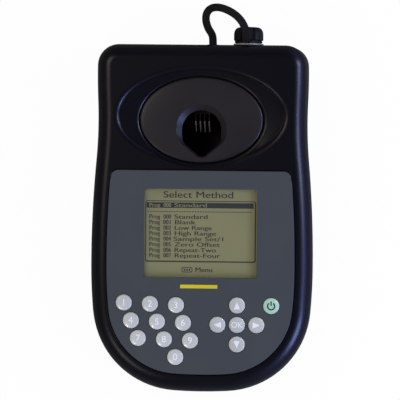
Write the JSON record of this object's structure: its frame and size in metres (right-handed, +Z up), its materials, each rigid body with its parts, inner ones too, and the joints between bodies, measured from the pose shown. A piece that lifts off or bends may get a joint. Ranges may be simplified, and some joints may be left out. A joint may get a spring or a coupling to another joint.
{
  "type": "photometer",
  "caption": "Bench photometer for water tests: waisted casing with a sloping top, display and keypad, an oval dish round the sample well, and a capped port at the rear.",
  "frame": {"origin": "middle of the footprint, from the front edge to the end of the rear cap, on the plane of the feet", "axes": "+X to the right of the person at the keys, +Y from the keys to the rear cap, +Z up"},
  "size_m": [0.15, 0.2603, 0.0639],
  "materials": {
    "casing_blue": "fine moulded grain, dark navy",
    "panel_grey": "satin blue-grey overlay",
    "insert_grey": "smooth near-black grey",
    "key_grey": "satin light grey",
    "key_green": "satin pale green",
    "black_plastic": "moulded black",
    "black_rubber": "soft matt black",
    "clear_window": "clear pane",
    "display_glass": "olive reflective display",
    "circuit_board": "green solder mask",
    "component_black": "moulded package",
    "flat_cable": "white ribbon",
    "white_plastic": "diffusing white",
    "steel": "bright steel",
    "nickel": "nickel plated",
    "filter_coating": "coated glass",
    "cell_jacket": "plain jacket with a steel end"
  },
  "bodies": {
    "casing": {"batteries": "cell_jacket", "battery_contacts": "nickel", "battery_holder": "black_plastic", "board_components": "component_black", "board_screws": "steel", "cap_strap": "black_rubber", "case_gasket": "black_rubber", "case_screws": "steel", "collimator_lens": "clear_window", "detector_block": "black_plastic", "detector_board": "circuit_board", "display_board": "circuit_board", "display_window": "clear_window", "feet": "black_rubber", "front_panel": "panel_grey", "interference_filters": "filter_coating", "key_domes": "steel", "keypad_board": "circuit_board", "lcd_backlight": "white_plastic", "lcd_frame": "steel", "lcd_panel": "display_glass", "led_board": "circuit_board", "light_source_block": "black_plastic", "light_source_led": "clear_window", "lower_case": "casing_blue", "main_board": "circuit_board", "photodiodes": "component_black", "port_nut": "nickel", "port_seal": "black_rubber", "port_socket": "black_plastic", "pusher_spring": "steel", "ribbon_cables": "flat_cable", "strap_anchor": "black_rubber", "tube_well": "black_plastic", "upper_case": "casing_blue", "usb_insert": "black_plastic", "well_insert": "insert_grey", "well_windows": "clear_window"},
    "key_0": {"key_0": "key_grey"},
    "key_1": {"key_1": "key_grey"},
    "key_2": {"key_2": "key_grey"},
    "key_3": {"key_3": "key_grey"},
    "key_4": {"key_4": "key_grey"},
    "key_5": {"key_5": "key_grey"},
    "key_6": {"key_6": "key_grey"},
    "key_7": {"key_7": "key_grey"},
    "key_8": {"key_8": "key_grey"},
    "key_9": {"key_9": "key_grey"},
    "key_down": {"key_down": "key_grey"},
    "key_left": {"key_left": "key_grey"},
    "key_ok": {"key_ok": "key_grey"},
    "key_power": {"key_power": "key_green"},
    "key_right": {"key_right": "key_grey"},
    "key_up": {"key_up": "key_grey"},
    "tube_pusher": {"tube_pusher": "white_plastic"},
    "strap_collar": {"strap_collar": "black_plastic"},
    "port_cap": {"port_cap": "black_plastic"},
    "battery_door": {"battery_door": "casing_blue", "door_gasket": "black_rubber", "door_screws": "steel"}
  },
  "joints": [
    {"name": "key_0_press", "type": "slide", "parent": "casing", "child": "key_0", "axis": [0, 0.1062, -0.9943], "range_m": [0, 0.0005], "stiffness_N_per_m": 800, "springref_m": -0.0005},
    {"name": "key_1_press", "type": "slide", "parent": "casing", "child": "key_1", "axis": [0, 0.1062, -0.9943], "range_m": [0, 0.0005], "stiffness_N_per_m": 800, "springref_m": -0.0005},
    {"name": "key_2_press", "type": "slide", "parent": "casing", "child": "key_2", "axis": [0, 0.1062, -0.9943], "range_m": [0, 0.0005], "stiffness_N_per_m": 800, "springref_m": -0.0005},
    {"name": "key_3_press", "type": "slide", "parent": "casing", "child": "key_3", "axis": [0, 0.1062, -0.9943], "range_m": [0, 0.0005], "stiffness_N_per_m": 800, "springref_m": -0.0005},
    {"name": "key_4_press", "type": "slide", "parent": "casing", "child": "key_4", "axis": [0, 0.1062, -0.9943], "range_m": [0, 0.0005], "stiffness_N_per_m": 800, "springref_m": -0.0005},
    {"name": "key_5_press", "type": "slide", "parent": "casing", "child": "key_5", "axis": [0, 0.1062, -0.9943], "range_m": [0, 0.0005], "stiffness_N_per_m": 800, "springref_m": -0.0005},
    {"name": "key_6_press", "type": "slide", "parent": "casing", "child": "key_6", "axis": [0, 0.1062, -0.9943], "range_m": [0, 0.0005], "stiffness_N_per_m": 800, "springref_m": -0.0005},
    {"name": "key_7_press", "type": "slide", "parent": "casing", "child": "key_7", "axis": [0, 0.1062, -0.9943], "range_m": [0, 0.0005], "stiffness_N_per_m": 800, "springref_m": -0.0005},
    {"name": "key_8_press", "type": "slide", "parent": "casing", "child": "key_8", "axis": [0, 0.1062, -0.9943], "range_m": [0, 0.0005], "stiffness_N_per_m": 800, "springref_m": -0.0005},
    {"name": "key_9_press", "type": "slide", "parent": "casing", "child": "key_9", "axis": [0, 0.1062, -0.9943], "range_m": [0, 0.0005], "stiffness_N_per_m": 800, "springref_m": -0.0005},
    {"name": "key_down_press", "type": "slide", "parent": "casing", "child": "key_down", "axis": [0, 0.1062, -0.9943], "range_m": [0, 0.0005], "stiffness_N_per_m": 800, "springref_m": -0.0005},
    {"name": "key_left_press", "type": "slide", "parent": "casing", "child": "key_left", "axis": [0, 0.1062, -0.9943], "range_m": [0, 0.0005], "stiffness_N_per_m": 800, "springref_m": -0.0005},
    {"name": "key_ok_press", "type": "slide", "parent": "casing", "child": "key_ok", "axis": [0, 0.1062, -0.9943], "range_m": [0, 0.0005], "stiffness_N_per_m": 800, "springref_m": -0.0005},
    {"name": "key_power_press", "type": "slide", "parent": "casing", "child": "key_power", "axis": [0, 0.1062, -0.9943], "range_m": [0, 0.0005], "stiffness_N_per_m": 800, "springref_m": -0.0005},
    {"name": "key_right_press", "type": "slide", "parent": "casing", "child": "key_right", "axis": [0, 0.1062, -0.9943], "range_m": [0, 0.0005], "stiffness_N_per_m": 800, "springref_m": -0.0005},
    {"name": "key_up_press", "type": "slide", "parent": "casing", "child": "key_up", "axis": [0, 0.1062, -0.9943], "range_m": [0, 0.0005], "stiffness_N_per_m": 800, "springref_m": -0.0005},
    {"name": "pusher_slide", "type": "slide", "parent": "casing", "child": "tube_pusher", "axis": [0, 1, 0], "range_m": [0, 0.003], "stiffness_N_per_m": 600, "springref_m": -0.001, "deforming": ["pusher_spring"]},
    {"name": "cap_pull", "type": "slide", "parent": "casing", "child": "strap_collar", "axis": [0, 1, 0], "range_m": [0, 0.016], "deforming": ["cap_strap"]},
    {"name": "cap_twist", "type": "hinge", "parent": "strap_collar", "child": "port_cap", "pos_m": [0.0304, 0.116, 0.043], "axis": [0, 1, 0], "range_deg": [0, 30]},
    {"name": "door_drop", "type": "slide", "parent": "casing", "child": "battery_door", "axis": [0, 0, -1], "range_m": [0, 0.03]}
  ]
}
